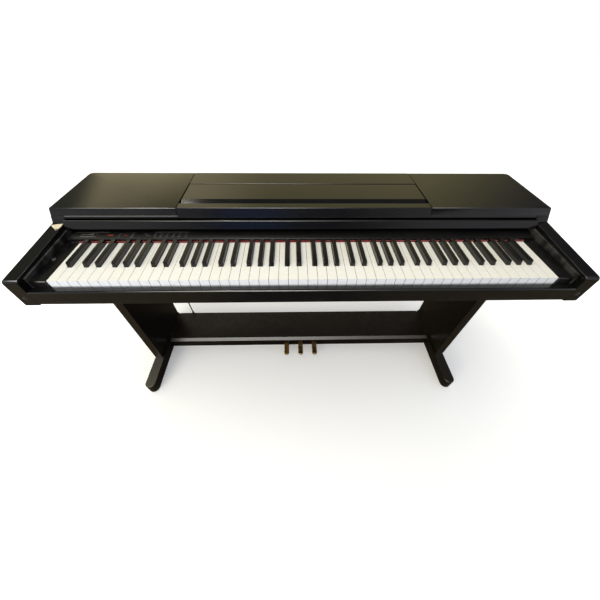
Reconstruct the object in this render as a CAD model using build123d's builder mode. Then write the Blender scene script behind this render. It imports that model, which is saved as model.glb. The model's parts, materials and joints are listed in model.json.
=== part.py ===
from build123d import *
import math
import os

# Digital piano on its stand, in millimetres.
# Frame: +X to the player's right, +Y away from the player, +Z up.
# The origin is on the floor, under the middle of the whole object.

os.makedirs("parts", exist_ok=True)

# ---- driving dimensions -------------------------------------------------
unit_width = 1380.0
side_thick = 34.0
unit_top = 786.0
unit_bottom = 657.0
board = 18.0
rest_gap = 0.3

object_depth = 472.0
slip_front = -object_depth / 2
foot_rear = object_depth / 2
key_front = slip_front + 22.0        # front edge of the white keys
unit_rear = key_front + 437.0

corner_radius = 14.0                 # plan radius of the rear corners
half = unit_width / 2
inner = half - side_thick            # inner face of each side board

# keyboard
white_count = 52
key_pitch = 23.55
key_gap = 1.0
key_top = 720.0
key_front_low = 696.0
key_lip = 6.0
key_body_low = 704.0
key_rear_top = 716.0
key_step = key_front + 149.0
key_rear = key_front + 235.0
sharp_front = key_front + 48.0
sharp_rear = key_front + 145.5
sharp_top = 732.0
sharp_base_width = 11.0
sharp_top_width = 9.4
sharp_slot = 13.0
keys_half = white_count * key_pitch / 2
key_axis_y = key_front + 220.0
key_axis_z = 710.0
rod_radius = 2.5
key_bore = 2.56
rod_reach = 8.0                      # how far the rod runs into each cheek block

# sloping arms and the front of the case
arm_front_low = key_front - 21.5
arm_front_top = key_front - 19.5
arm_front_z = 736.0
arm_rear = key_front + 195.0
arm_rear_z = 753.0
face_top = key_front + 213.0         # front edge of the top boards
face_lean = (face_top - arm_rear) / (unit_top - arm_rear_z)
top_under = unit_top - board

# middle part of the top, with the folding music rest
centre_half = 351.5
seam = 1.4
rest_rear_gap = 3.0
rest_half = 349.0
rest_front = key_front + 243.0
rest_rear = key_front + 355.5
rest_thick = 12.0
rest_axis_y = key_front + 249.0
rest_axis_z = unit_top - 9.0
strip_rear = key_front + 238.0
pin_radius = 3.0
pin_bore = 3.08

# sliding key cover
cover_slope = 0.05
cover_y = key_front + 180.0          # the cover's underside is at cover_z here
cover_z = 740.0
cover_thick = 4.5
cover_half = inner - 1.5
cover_rear = key_front + 392.0

# keyboard shelf and control panel
keybed_low = 662.0
keybed_top = 684.0
slip_rear = key_front - 4.0
slip_top = 703.0
cheek_top = 721.0
panel_front = key_front + 150.0
panel_rear = key_front + 206.0
panel_top = 730.0
panel_thick = 6.0
button_y = key_front + 168.0
button_radius = 3.0
button_proud = 1.5
button_x = [-508, -474, -412, -397, -380, -363, -347, -329]

# stand
leg_outer = 682.0
leg_thick = 33.5
leg_front = key_front + 177.0
leg_rear = key_front + 441.0
foot_width = 44.5
foot_height = 50.0
foot_front = key_front + 31.0
box_front = key_front + 266.0
box_low = 3.0
pedal_pitch = 68.0
pedal_axis_y = key_front + 352.0
pedal_axis_z = 25.0
axle_radius = 4.0
cable_x = -563.0
cable_y = key_front + 431.0
cable_radius = 2.75


def save(piece, node):
    piece.label = node
    export_step(piece, f"parts/{node}.step")


def face_y(z):
    """Y of the leaning front face of the case at a height."""
    return face_top - face_lean * (unit_top - z)


def cover_under(y):
    """Height of the cover's underside at rest."""
    return cover_z + cover_slope * (y - cover_y)


def rear_corner(board, side):
    """The upright edge at a board's rear outer corner."""
    return board.edges().filter_by(Axis.Z).filter_by(
        lambda e: abs(e.center().X - side * half) < 0.1 and abs(e.center().Y - unit_rear) < 0.1
    )


# ---- side boards: one piece from the arm's tip to the back ---------------
for side, node in ((-1, "side_left"), (1, "side_right")):
    with BuildPart() as side_board:
        with BuildSketch(Plane.YZ.offset(min(side * inner, side * half))):
            with BuildLine():
                Polyline(
                    (arm_front_low, unit_bottom),
                    (arm_front_top, arm_front_z),
                    (arm_rear, arm_rear_z),
                    (face_y(top_under), top_under),
                    (unit_rear, top_under),
                    (unit_rear, unit_bottom),
                    close=True,
                )
            make_face()
        extrude(amount=side_thick)
        low_tip, high_tip = side_board.edges().filter_by(Axis.X).sort_by(Axis.Y)[:2].sort_by(Axis.Z)
        fillet(low_tip, 3)
        fillet(high_tip, 9)
        long_edges = side_board.edges().filter_by(
            lambda e: e.center().Z > arm_front_z - 12 and e.center().Z < top_under - 4
            and e.center().Y < arm_rear and abs(e.tangent_at(0.5).X) < 0.1
        )
        fillet(long_edges, 1.6)
        fillet(rear_corner(side_board, side), corner_radius)
    save(side_board.part, node)

# ---- keybed with two speaker openings ------------------------------------
speaker_x = 470.0
speaker_y = key_front + 335.0
speaker_hole = 58.0
with BuildPart() as keybed:
    with BuildSketch(Plane.XY.offset(keybed_low)):
        with Locations((0, (slip_rear + unit_rear - 9) / 2)):
            Rectangle(2 * inner, unit_rear - 9 - slip_rear)
        with Locations((-speaker_x, speaker_y), (speaker_x, speaker_y)):
            Circle(speaker_hole, mode=Mode.SUBTRACT)
    extrude(amount=keybed_top - keybed_low)
save(keybed.part, "keybed")

# ---- key slip: the rail in front of the keys ------------------------------
with BuildPart() as key_slip:
    with BuildSketch(Plane.YZ.offset(-inner)):
        with BuildLine():
            Polyline(
                (slip_front, keybed_low),
                (slip_front, slip_top),
                (slip_rear, slip_top),
                (slip_rear, keybed_low),
                close=True,
            )
        make_face()
    extrude(amount=2 * inner)
    slip_edge = key_slip.edges().filter_by(Axis.X).group_by(Axis.Z)[-1].sort_by(Axis.Y)[0]
    fillet(slip_edge, 4)
save(key_slip.part, "key_slip")

# ---- cheek blocks at both ends of the keyboard -----------------------------
cheek_inner = keys_half + 0.7
cheek_outer = inner - 9.0
cheek_rear = key_front + 236.0
power_x = -(cheek_outer - 10.0)
power_y = key_front + 76.0
power_radius = 5.0
with BuildPart() as cheek_blocks:
    for side in (-1, 1):
        with BuildSketch(Plane.YZ.offset(min(side * cheek_inner, side * cheek_outer))):
            with BuildLine():
                Polyline(
                    (slip_rear, keybed_top),
                    (slip_rear, cheek_top),
                    (panel_front, cheek_top),
                    (panel_front, panel_top - panel_thick),
                    (cheek_rear, panel_top - panel_thick),
                    (cheek_rear, keybed_top),
                    close=True,
                )
            make_face()
        extrude(amount=cheek_outer - cheek_inner)
    front_edges = cheek_blocks.edges().filter_by(Axis.X).filter_by(
        lambda e: abs(e.center().Y - slip_rear) < 0.1 and abs(e.center().Z - cheek_top) < 0.1
    )
    fillet(front_edges, 3)
    with Locations((power_x, power_y, cheek_top)):
        Hole(power_radius + 0.3, depth=9)
    with Locations(Plane.YZ):
        with Locations((key_axis_y, key_axis_z)):
            Cylinder(rod_radius, 2 * (cheek_inner + rod_reach), mode=Mode.SUBTRACT)
save(cheek_blocks.part, "cheek_blocks")

# ---- rails that carry the sliding cover -------------------------------------
rail_width = 6.0
rail_front = key_front - 3.0
rail_rear = unit_rear - 12.0
with BuildPart() as cover_rails:
    for x in (-inner + 0.6, inner - 0.6 - rail_width):
        with BuildSketch(Plane.YZ.offset(x)):
            with BuildLine():
                Polyline(
                    (rail_front, keybed_top),
                    (rail_front, cover_under(rail_front) - rest_gap),
                    (rail_rear, cover_under(rail_rear) - rest_gap),
                    (rail_rear, keybed_top),
                    close=True,
                )
            make_face()
        extrude(amount=rail_width)
save(cover_rails.part, "cover_rails")

# ---- key cover: a thin board and its front lip --------------------------------
lip_top = 762.0
lip_front = key_front + 177.5
lip_thick = 11.0
board_front = lip_front + lip_thick
with BuildPart() as key_cover:
    with BuildSketch(Plane.YZ.offset(-cover_half)):
        with BuildLine():
            Polyline(
                (board_front, cover_under(board_front)),
                (board_front, cover_under(board_front) + cover_thick),
                (cover_rear, cover_under(cover_rear) + cover_thick),
                (cover_rear, cover_under(cover_rear)),
                close=True,
            )
        make_face()
    extrude(amount=2 * cover_half)
save(key_cover.part, "key_cover")

lip_lean = 9.0
lip_overlap = 4.0
with BuildPart() as cover_lip:
    with BuildSketch(Plane.YZ.offset(-cover_half)):
        with BuildLine():
            Polyline(
                (lip_front, cover_under(lip_front)),
                (lip_front + lip_lean, lip_top),
                (board_front + lip_overlap, lip_top),
                (board_front + lip_overlap, cover_under(board_front + lip_overlap) + cover_thick),
                (board_front, cover_under(board_front) + cover_thick),
                (board_front, cover_under(board_front)),
                close=True,
            )
        make_face()
    extrude(amount=2 * cover_half)
    lip_edges = cover_lip.edges().filter_by(Axis.X).filter_by(
        lambda e: e.center().Y < lip_front + lip_lean + 0.1
    )
    fillet(lip_edges, 2)
save(cover_lip.part, "cover_lip")

# ---- top boards, left and right of the middle part -----------------------------
for side, node in ((-1, "top_left"), (1, "top_right")):
    with BuildPart() as top_board:
        with BuildSketch(Plane.YZ.offset(min(side * (centre_half + seam), side * half))):
            with BuildLine():
                Polyline(
                    (face_top, unit_top),
                    (unit_rear, unit_top),
                    (unit_rear, top_under),
                    (face_y(top_under), top_under),
                    close=True,
                )
            make_face()
        extrude(amount=half - centre_half - seam)
        fillet(rear_corner(top_board, side), corner_radius)
        outer_top = top_board.edges().filter_by(
            lambda e: e.center().Z > unit_top - 0.1 and abs(e.center().X) > centre_half + 10
        )
        fillet(outer_top, 2.5)
        with Locations(Plane.YZ.offset(side * (centre_half + seam + 4.5))):
            with Locations((rest_axis_y, rest_axis_z)):
                Cylinder(pin_bore, 9.0, mode=Mode.SUBTRACT)
    save(top_board.part, node)

# ---- rear middle board of the top ------------------------------------------------
with BuildPart() as top_rear_centre:
    with BuildSketch(Plane.XY.offset(top_under)):
        with Locations((0, (rest_rear + rest_rear_gap + unit_rear) / 2)):
            Rectangle(2 * centre_half, unit_rear - rest_rear - rest_rear_gap)
    extrude(amount=board)
    rear_edge = top_rear_centre.edges().filter_by(Axis.X).group_by(Axis.Z)[-1]
    fillet(rear_edge, 1.5)
save(top_rear_centre.part, "top_rear_centre")

# ---- front rail: the strip before the music rest and the beam under the top ------
beam_low = 762.0
beam_rear = key_front + 240.0
with BuildPart() as front_rail:
    with BuildSketch(Plane.YZ.offset(-inner)):
        with BuildLine():
            Polyline(
                (face_y(beam_low), beam_low),
                (face_y(top_under), top_under),
                (beam_rear, top_under),
                (beam_rear, beam_low - 10),
                (beam_rear - 22, beam_low - 10),
                (beam_rear - 30, beam_low),
                close=True,
            )
        make_face()
    extrude(amount=2 * inner)
    with BuildSketch(Plane.YZ.offset(-centre_half)):
        with BuildLine():
            Polyline(
                (face_top, unit_top),
                (strip_rear, unit_top),
                (strip_rear, top_under),
                (face_y(top_under), top_under),
                close=True,
            )
        make_face()
    extrude(amount=2 * centre_half)
    strip_edges = front_rail.edges().filter_by(Axis.X).group_by(Axis.Z)[-1]
    fillet(strip_edges, 2)
save(front_rail.part, "front_rail")

# ---- tray under the music rest ------------------------------------------------------
tray_thick = 6.0
tray_rear = rest_rear + 14.0
with BuildPart() as rest_tray:
    with BuildSketch(Plane.XY.offset(top_under - tray_thick)):
        with Locations((0, (beam_rear + seam + tray_rear) / 2)):
            Rectangle(2 * centre_half + 24, tray_rear - beam_rear - seam)
    extrude(amount=tray_thick)
save(rest_tray.part, "rest_tray")

# ---- music rest: a board hinged at its front edge --------------------------------------
nose_length = 19.0
nose_drop = 6.0
with BuildPart() as music_rest:
    with BuildSketch(Plane.YZ.offset(-rest_half)):
        with BuildLine():
            Polyline(
                (rest_front, unit_top - rest_thick),
                (rest_front, unit_top - nose_drop),
                (rest_front + nose_length, unit_top),
                (rest_rear, unit_top),
                (rest_rear, unit_top - rest_thick),
                close=True,
            )
        make_face()
    extrude(amount=2 * rest_half)
    nose_edges = music_rest.edges().filter_by(Axis.X).filter_by(
        lambda e: e.center().Z > unit_top - nose_drop - 0.1
    )
    fillet(nose_edges, 2.5)
    for side in (-1, 1):
        with Locations(Plane.YZ.offset(side * (rest_half - 10))):
            with Locations((rest_axis_y, rest_axis_z)):
                Cylinder(pin_radius, 20, mode=Mode.SUBTRACT)
save(music_rest.part, "music_rest")

pin_length = 30.0
with BuildPart() as rest_hinge_pins:
    for side in (-1, 1):
        with BuildSketch(Plane.YZ.offset(side * (rest_half - 20))):
            with Locations((rest_axis_y, rest_axis_z)):
                Circle(pin_radius)
        extrude(amount=side * pin_length)
save(rest_hinge_pins.part, "rest_hinge_pins")

# ---- back of the case, with a window for the socket plate -------------------------------
plate_x = -430.0
plate_z = 712.0
plate_size = (150.0, 46.0)
with BuildPart() as rear_panel:
    with BuildSketch(Plane.XZ.offset(-unit_rear)):
        with Locations((0, (keybed_low + top_under) / 2)):
            Rectangle(2 * inner, top_under - keybed_low)
        with Locations((plate_x, plate_z)):
            Rectangle(plate_size[0] - 16, plate_size[1] - 14, mode=Mode.SUBTRACT)
    extrude(amount=9.0)
save(rear_panel.part, "rear_panel")

# ---- socket plate on the inside of the back ------------------------------------------------
socket_radius = 4.2
with BuildPart() as jack_plate:
    with BuildSketch(Plane.XZ.offset(-(unit_rear - 9.0))):
        with Locations((plate_x, plate_z)):
            Rectangle(*plate_size)
            with Locations((38, 0)):
                SlotOverall(20, 9, mode=Mode.SUBTRACT)
    extrude(amount=2.0)
    with BuildSketch(Plane.XZ.offset(-(unit_rear - 11.0))):
        with Locations((plate_x + 38, plate_z)):
            RectangleRounded(34, 22, 2)
            SlotOverall(20, 9, mode=Mode.SUBTRACT)
    extrude(amount=16.0)
    with BuildSketch(Plane.XZ.offset(-(unit_rear - 27.0))):
        with Locations((plate_x + 38, plate_z)):
            RectangleRounded(34, 22, 2)
    extrude(amount=2.0)
    with BuildSketch(Plane.XZ.offset(-(unit_rear - 9.0))):
        with Locations(*[(plate_x + x, plate_z) for x in (-48, -28, -4)]):
            Circle(socket_radius)
    extrude(amount=-7.0)
save(jack_plate.part, "jack_plate")

# ---- control panel with holes for the buttons and the slider -----------------------------------
panel_half = 640.0
slot_left = -611.0
slot_right = -573.0
panel_low = panel_top - panel_thick
slot_middle = (slot_left + slot_right) / 2
with BuildPart() as control_panel:
    with BuildSketch(Plane.XY.offset(panel_low)):
        with Locations((0, (panel_front + panel_rear) / 2)):
            Rectangle(2 * panel_half, panel_rear - panel_front)
        with Locations(*[(x, button_y) for x in button_x]):
            Circle(button_radius + 0.25, mode=Mode.SUBTRACT)
        with Locations((slot_middle, button_y)):
            Rectangle(slot_right - slot_left, 2.6, mode=Mode.SUBTRACT)
    extrude(amount=panel_thick)
    panel_edge = control_panel.edges().filter_by(Axis.X).group_by(Axis.Z)[-1].sort_by(Axis.Y)[0]
    fillet(panel_edge, 1.5)
save(control_panel.part, "control_panel")

# ---- panel buttons: a round cap with a collar under the panel ----------------------------------
for index, x in enumerate(button_x, start=1):
    with BuildPart() as panel_button:
        with BuildSketch(Plane.XY.offset(panel_low - 1.8)):
            with Locations((x, button_y)):
                Circle(button_radius + 1)
        extrude(amount=1.5)
        with BuildSketch(Plane.XY.offset(panel_low - 0.3)):
            with Locations((x, button_y)):
                Circle(button_radius)
        extrude(amount=panel_thick + 0.3 + button_proud)
        fillet(panel_button.edges().group_by(Axis.Z)[-1], 0.5)
    save(panel_button.part, f"panel_button_{index}")

with BuildPart() as power_button:
    with BuildSketch(Plane.XY.offset(cheek_top - 6)):
        with Locations((power_x, power_y)):
            Circle(power_radius)
    extrude(amount=6 + 2.2)
    fillet(power_button.edges().group_by(Axis.Z)[-1], 0.8)
save(power_button.part, "power_button")

# ---- volume slider: a ribbed cap on a stem through the slot ---------------------------------------
knob_x = -578.5
knob_size = (7.0, 9.0)
with BuildPart() as volume_knob:
    with BuildSketch(Plane.XY.offset(panel_low - 1.5)):
        with Locations((knob_x, button_y)):
            Rectangle(5.0, 2.0)
    extrude(amount=panel_thick + 1.5 + 0.4)
    with BuildSketch(Plane.XY.offset(panel_top + 0.4)):
        with Locations((knob_x, button_y)):
            Rectangle(*knob_size)
    extrude(amount=4.0)
    fillet(volume_knob.edges().group_by(Axis.Z)[-1], 0.8)
    with BuildSketch(Plane.XY.offset(panel_top + 4.4)):
        with Locations((knob_x, button_y)):
            Rectangle(1.0, knob_size[1] - 2)
    extrude(amount=-0.8, mode=Mode.SUBTRACT)
save(volume_knob.part, "volume_knob")

# ---- felt strip at the back of the visible keys ------------------------------------------------------
with BuildPart() as felt_strip:
    with BuildSketch(Plane.XY.offset(key_top + 0.6)):
        with Locations((0, panel_front - 2.0)):
            Rectangle(2 * keys_half, 3.4)
    extrude(amount=3.2)
save(felt_strip.part, "felt_strip")

# ---- keys, one node for each note name -----------------------------------------------------------------
# Offsets of the sharps' centres from the joint between the two naturals.
sharp_offset = {"c_sharp": -3.1, "d_sharp": 3.1, "f_sharp": -4.2, "g_sharp": 0.0, "a_sharp": 4.2}
naturals = ["c", "d", "e", "f", "g", "a", "b"]
sharp_after = {"c": "c_sharp", "d": "d_sharp", "f": "f_sharp", "g": "g_sharp", "a": "a_sharp"}
first_natural = 5                     # the keyboard starts on an A


def natural_name(index):
    return naturals[(index + first_natural) % 7]


def bore_for_rod():
    """The bore through the keys being built, for the rod that they turn on."""
    with Locations(Plane.YZ):
        with Locations((key_axis_y, key_axis_z)):
            Cylinder(key_bore, 2 * keys_half, mode=Mode.SUBTRACT)


def joint_x(index):
    """X of the joint to the right of a natural key."""
    return -keys_half + (index + 1) * key_pitch


sharps = []
for index in range(white_count - 1):
    name = sharp_after.get(natural_name(index))
    if name:
        sharps.append((index, name, joint_x(index) + sharp_offset[name]))

for name in naturals:
    with BuildPart() as keys:
        for index in range(white_count):
            if natural_name(index) != name:
                continue
            left = joint_x(index) - key_pitch + key_gap / 2
            right = joint_x(index) - key_gap / 2
            with BuildSketch(Plane.YZ.offset(left)):
                with BuildLine():
                    Polyline(
                        (key_front, key_front_low),
                        (key_front, key_top),
                        (key_step, key_top),
                        (key_step, key_rear_top),
                        (key_rear, key_rear_top),
                        (key_rear, key_body_low),
                        (key_front + key_lip, key_body_low),
                        (key_front + key_lip, key_front_low),
                        close=True,
                    )
                make_face()
            extrude(amount=right - left)
        for index, _, x in sharps:
            if name in (natural_name(index), natural_name(index + 1)):
                with BuildSketch(Plane.XY.offset(key_front_low - 5)):
                    with Locations((x, (sharp_front + key_rear + 4) / 2)):
                        Rectangle(sharp_slot, key_rear + 6 - sharp_front)
                extrude(amount=60, mode=Mode.SUBTRACT)
        bore_for_rod()
    save(keys.part, f"keys_{name}")

sharp_low = key_top - 16.0
for name in sharp_offset:
    with BuildPart() as keys:
        for _, sharp, x in sharps:
            if sharp != name:
                continue
            with BuildSketch(Plane.YZ.offset(x - sharp_base_width / 2)):
                with BuildLine():
                    Polyline(
                        (sharp_front + 1.0, sharp_low),
                        (sharp_front + 1.0, key_top),
                        (sharp_front + 4.5, sharp_top),
                        (sharp_rear, sharp_top),
                        (sharp_rear, key_rear_top),
                        (key_rear, key_rear_top),
                        (key_rear, sharp_low),
                        close=True,
                    )
                make_face()
            extrude(amount=sharp_base_width)
        upper = keys.edges().filter_by(
            lambda e: e.center().Z > sharp_top - 0.1 and abs(e.tangent_at(0.5).Y) > 0.9
        )
        chamfer(upper, (sharp_base_width - sharp_top_width) / 2)
        bore_for_rod()
    save(keys.part, f"keys_{name}")

# ---- key chassis: balance rail, front rail and rear rail on the keybed ---------------------------------------
with BuildPart() as key_chassis:
    with BuildSketch(Plane.XY.offset(keybed_top)):
        with Locations((0, (key_front + 12 + key_front + 262) / 2)):
            Rectangle(2 * keys_half - 2, 250)
    extrude(amount=1.2)
    with BuildSketch(Plane.XY.offset(keybed_top + 1.2)):
        with Locations((0, key_axis_y)):
            Rectangle(2 * keys_half - 2, 22)
    extrude(amount=key_body_low - keybed_top - 2.0)
    with BuildSketch(Plane.XY.offset(keybed_top + 1.2)):
        with Locations((0, key_front + 250)):
            Rectangle(2 * keys_half - 2, 16)
    extrude(amount=30)
save(key_chassis.part, "key_chassis")

with BuildPart() as key_rod:
    with BuildSketch(Plane.YZ.offset(-cheek_inner - rod_reach)):
        with Locations((key_axis_y, key_axis_z)):
            Circle(rod_radius)
    extrude(amount=2 * (cheek_inner + rod_reach))
save(key_rod.part, "key_rod")

# ---- electronics behind the keyboard ------------------------------------------------------------------------------
with BuildPart() as main_board:
    with BuildSketch(Plane.XY.offset(keybed_top + 8)):
        with Locations((0, key_front + 335)):
            Rectangle(420, 120)
    extrude(amount=1.6)
    with BuildSketch(Plane.XY.offset(keybed_top)):
        with Locations((0, key_front + 335)):
            with GridLocations(400, 100, 2, 2):
                Circle(4)
    extrude(amount=8)
    with BuildSketch(Plane.XY.offset(keybed_top + 9.6)):
        with Locations((-120, key_front + 335), (-40, key_front + 345), (60, key_front + 330)):
            Rectangle(44, 30)
        with Locations((150, key_front + 340)):
            Rectangle(60, 50)
    extrude(amount=5)
save(main_board.part, "main_board")

with BuildPart() as power_supply:
    with BuildSketch(Plane.XY.offset(keybed_top)):
        with Locations((-310, key_front + 345)):
            Rectangle(110, 80)
    extrude(amount=3)
    with BuildSketch(Plane.XY.offset(keybed_top + 3)):
        with Locations((-310, key_front + 345)):
            Rectangle(62, 52)
    extrude(amount=42)
save(power_supply.part, "power_supply")

# ---- speakers on the keybed, facing down, and their grilles ---------------------------------------------------------
frame_radius = 66.0
with BuildPart() as speakers:
    for x in (-speaker_x, speaker_x):
        with BuildSketch(Plane.YZ.offset(x)):
            with BuildLine():
                Polyline(
                    (speaker_y, keybed_top),
                    (speaker_y + frame_radius, keybed_top),
                    (speaker_y + frame_radius, keybed_top + 3),
                    (speaker_y + 26, keybed_top + 26),
                    (speaker_y + 26, keybed_top + 42),
                    (speaker_y, keybed_top + 42),
                    close=True,
                )
            make_face()
        revolve(axis=Axis((x, speaker_y, 0), (0, 0, 1)))
save(speakers.part, "speakers")

with BuildPart() as speaker_grilles:
    with BuildSketch(Plane.XY.offset(keybed_low)):
        with Locations((-speaker_x, speaker_y), (speaker_x, speaker_y)):
            Circle(frame_radius)
    extrude(amount=-2.0)
save(speaker_grilles.part, "speaker_grilles")

# ---- headphone box under the keybed, with two plug holes --------------------------------------------------------------
phones_x = -560.0
phones_front = key_front + 16.0
phones_size = (64.0, 46.0, 27.0)
jack_radius = 3.25
jack_depth = 16.0
with BuildPart() as headphone_box:
    with BuildSketch(Plane.XY.offset(keybed_low)):
        with Locations((phones_x, phones_front + phones_size[1] / 2)):
            RectangleRounded(phones_size[0], phones_size[1], 4)
    extrude(amount=-phones_size[2])
    with BuildSketch(Plane.XZ.offset(-phones_front)):
        with Locations((phones_x - 14, keybed_low - 14), (phones_x + 14, keybed_low - 14)):
            Circle(jack_radius)
    extrude(amount=-jack_depth, mode=Mode.SUBTRACT)
save(headphone_box.part, "headphone_box")

# ---- stand: side panels on long feet -------------------------------------------------------------------------------------
for side, node in ((-1, "leg_left"), (1, "leg_right")):
    with BuildPart() as leg:
        with BuildSketch(Plane.XY.offset(foot_height)):
            with Locations((side * (leg_outer - leg_thick / 2), (leg_front + leg_rear) / 2)):
                Rectangle(leg_thick, leg_rear - leg_front)
        extrude(amount=unit_bottom - foot_height)
        fillet(leg.edges().filter_by(Axis.Z), 2.5)
    save(leg.part, node)

with BuildPart() as feet:
    foot_length = foot_rear - foot_front
    with BuildSketch(Plane.XY):
        for side in (-1, 1):
            with Locations((side * (leg_outer - foot_width / 2), foot_front + foot_length / 2)):
                SlotOverall(foot_length, foot_width, rotation=90)
    extrude(amount=foot_height)
    fillet(feet.edges().group_by(Axis.Z)[-1], 3)
save(feet.part, "feet")

# ---- board across the back of the stand ------------------------------------------------------------------------------------
leg_inner = leg_outer - leg_thick
back_low = 300.0
back_top = 640.0
back_y = key_front + 396.0
with BuildPart() as back_board:
    with BuildSketch(Plane.XY.offset(back_low)):
        with Locations((0, back_y)):
            Rectangle(2 * leg_inner, 15)
    extrude(amount=back_top - back_low)
save(back_board.part, "back_board")

# ---- pedal box: a long low beam between the feet ------------------------------------------------------------------------------
box_half = leg_outer - foot_width
slot_low = 10.0
slot_high = 34.0
slot_width = 26.0
pedal_x = (-pedal_pitch, 0.0, pedal_pitch)
with BuildPart() as pedal_box:
    with BuildSketch(Plane.YZ.offset(-box_half)):
        with BuildLine():
            Polyline(
                (box_front, box_low),
                (box_front + 2, foot_height - 10),
                (box_front + 15, foot_height),
                (leg_rear, foot_height),
                (leg_rear, box_low),
                close=True,
            )
        make_face()
    extrude(amount=2 * box_half)
    with BuildSketch(Plane.XY.offset(box_low + 5)):
        with Locations((0, pedal_axis_y - 22)):
            Rectangle(2 * pedal_pitch + 54, 118)
    extrude(amount=foot_height - 8 - box_low - 5, mode=Mode.SUBTRACT)
    with BuildSketch(Plane.XZ.offset(-(box_front - 5))):
        with Locations(*[(x, (slot_low + slot_high) / 2) for x in pedal_x]):
            Rectangle(slot_width, slot_high - slot_low)
    extrude(amount=-30, mode=Mode.SUBTRACT)
    with Locations(Plane.YZ):
        with Locations((pedal_axis_y, pedal_axis_z)):
            Cylinder(axle_radius, 2 * pedal_pitch + 70, mode=Mode.SUBTRACT)
save(pedal_box.part, "pedal_box")

with BuildPart() as pedal_axle:
    with BuildSketch(Plane.YZ.offset(-pedal_pitch - 35)):
        with Locations((pedal_axis_y, pedal_axis_z)):
            Circle(axle_radius)
    extrude(amount=2 * pedal_pitch + 70)
save(pedal_axle.part, "pedal_axle")

# ---- pedals: a broad rounded tongue on a lever with its own bore -----------------------------------------------------------------
pedal_front = key_front + 196.0
pedal_width = 23.0
pedal_bore = axle_radius + 0.06
for x, node in zip(pedal_x, ("pedal_left", "pedal_centre", "pedal_right")):
    with BuildPart() as pedal:
        with BuildSketch(Plane.XY.offset(pedal_axis_z - 4)):
            with Locations((x, (pedal_front + pedal_axis_y + 14) / 2)):
                SlotOverall(pedal_axis_y + 14 - pedal_front, pedal_width, rotation=90)
        extrude(amount=8)
        fillet(pedal.edges().group_by(Axis.Z)[-1], 2)
        with BuildSketch(Plane.YZ.offset(x - 9)):
            with Locations((pedal_axis_y, pedal_axis_z)):
                Circle(8)
        extrude(amount=18)
        with BuildSketch(Plane.YZ.offset(x - 15)):
            with Locations((pedal_axis_y, pedal_axis_z)):
                Circle(pedal_bore)
        extrude(amount=30, mode=Mode.SUBTRACT)
    save(pedal.part, node)

# ---- pedal cable from the pedal box up to the keybed ----------------------------------------------------------------------------------
plug_length = 34.0
cable_top = keybed_low - plug_length
cable_points = [
    (cable_x, cable_y, foot_height),
    (cable_x, cable_y, 118),
    (cable_x - 5, cable_y + 2, 190),
    (cable_x - 12, cable_y + 4, 268),
    (cable_x - 16, cable_y + 2, 352),
    (cable_x - 12, cable_y - 1, 434),
    (cable_x - 4, cable_y - 3, 508),
    (cable_x + 1, cable_y - 1, 568),
    (cable_x + 1, cable_y - 1, cable_top),
]


def corner_radii(points):
    """Radius of each bend: 0.45 of its shorter run over the tangent of half its turn."""
    radii = []
    for a, b, c in zip(points, points[1:], points[2:]):
        before = Vector(*b) - Vector(*a)
        after = Vector(*c) - Vector(*b)
        half_turn = math.radians(before.get_angle(after)) / 2
        radii.append(0.45 * min(before.length, after.length) / math.tan(half_turn))
    return radii


radii = corner_radii(cable_points)
print("cable bend radii", [round(r) for r in radii])
with BuildPart() as pedal_cable:
    with BuildLine() as cable_line:
        FilletPolyline(*cable_points, radius=radii)
    cable_wire = cable_line.wires()[0]
    with BuildSketch(Plane(origin=cable_points[0], z_dir=cable_wire % 0)):
        Circle(cable_radius)
    sweep(path=cable_wire)
print("cable length", round(cable_wire.length, 1))
save(pedal_cable.part, "pedal_cable")

with BuildPart() as cable_plug:
    with BuildSketch(Plane.XY.offset(cable_top)):
        with Locations((cable_x + 1, cable_y - 1)):
            Circle(6.5)
    extrude(amount=plug_length)
    fillet(cable_plug.edges().group_by(Axis.Z)[0], 2)
save(cable_plug.part, "cable_plug")

# ---- screw caps on the feet, beside the legs -----------------------------------------------------------------------------------------------
cap_x = box_half + 5.5
with BuildPart() as stand_caps:
    with BuildSketch(Plane.XY.offset(foot_height)):
        with Locations(*[(s * cap_x, key_front + y) for s in (-1, 1) for y in (307, 419)]):
            Circle(3.4)
    extrude(amount=1.2)
    fillet(stand_caps.edges().group_by(Axis.Z)[-1], 0.5)
save(stand_caps.part, "stand_caps")
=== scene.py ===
# %% [markdown]
# # A digital piano on its stand
# The solid parts come from the CAD frame, already in place and in metres. This lesson gives
# them their finishes and adds the small pieces that are too fine for the solid model:
# printed marks, lamp lenses, screw heads, speaker mesh, rubber pads and the pedal cable.

# %% Load the frame
import json
import math
import random
import bpy
import bmesh
from mathutils import Matrix, Vector


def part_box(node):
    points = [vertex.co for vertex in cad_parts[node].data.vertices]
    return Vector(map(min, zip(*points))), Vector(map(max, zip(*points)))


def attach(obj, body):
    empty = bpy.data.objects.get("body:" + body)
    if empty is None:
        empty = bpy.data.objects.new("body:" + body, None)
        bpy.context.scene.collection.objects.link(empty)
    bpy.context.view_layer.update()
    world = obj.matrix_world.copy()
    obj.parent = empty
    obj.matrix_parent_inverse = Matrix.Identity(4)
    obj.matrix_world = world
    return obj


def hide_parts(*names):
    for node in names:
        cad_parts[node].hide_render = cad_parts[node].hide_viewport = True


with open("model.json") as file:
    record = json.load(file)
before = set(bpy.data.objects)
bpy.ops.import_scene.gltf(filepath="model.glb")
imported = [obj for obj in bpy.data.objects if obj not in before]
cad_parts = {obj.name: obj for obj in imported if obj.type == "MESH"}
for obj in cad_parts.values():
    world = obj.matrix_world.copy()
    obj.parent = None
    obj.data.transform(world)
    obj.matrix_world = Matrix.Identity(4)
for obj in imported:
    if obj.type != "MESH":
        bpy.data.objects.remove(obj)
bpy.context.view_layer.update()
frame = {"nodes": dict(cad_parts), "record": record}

nodes = frame["nodes"]
chance = random.Random(52)

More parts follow.
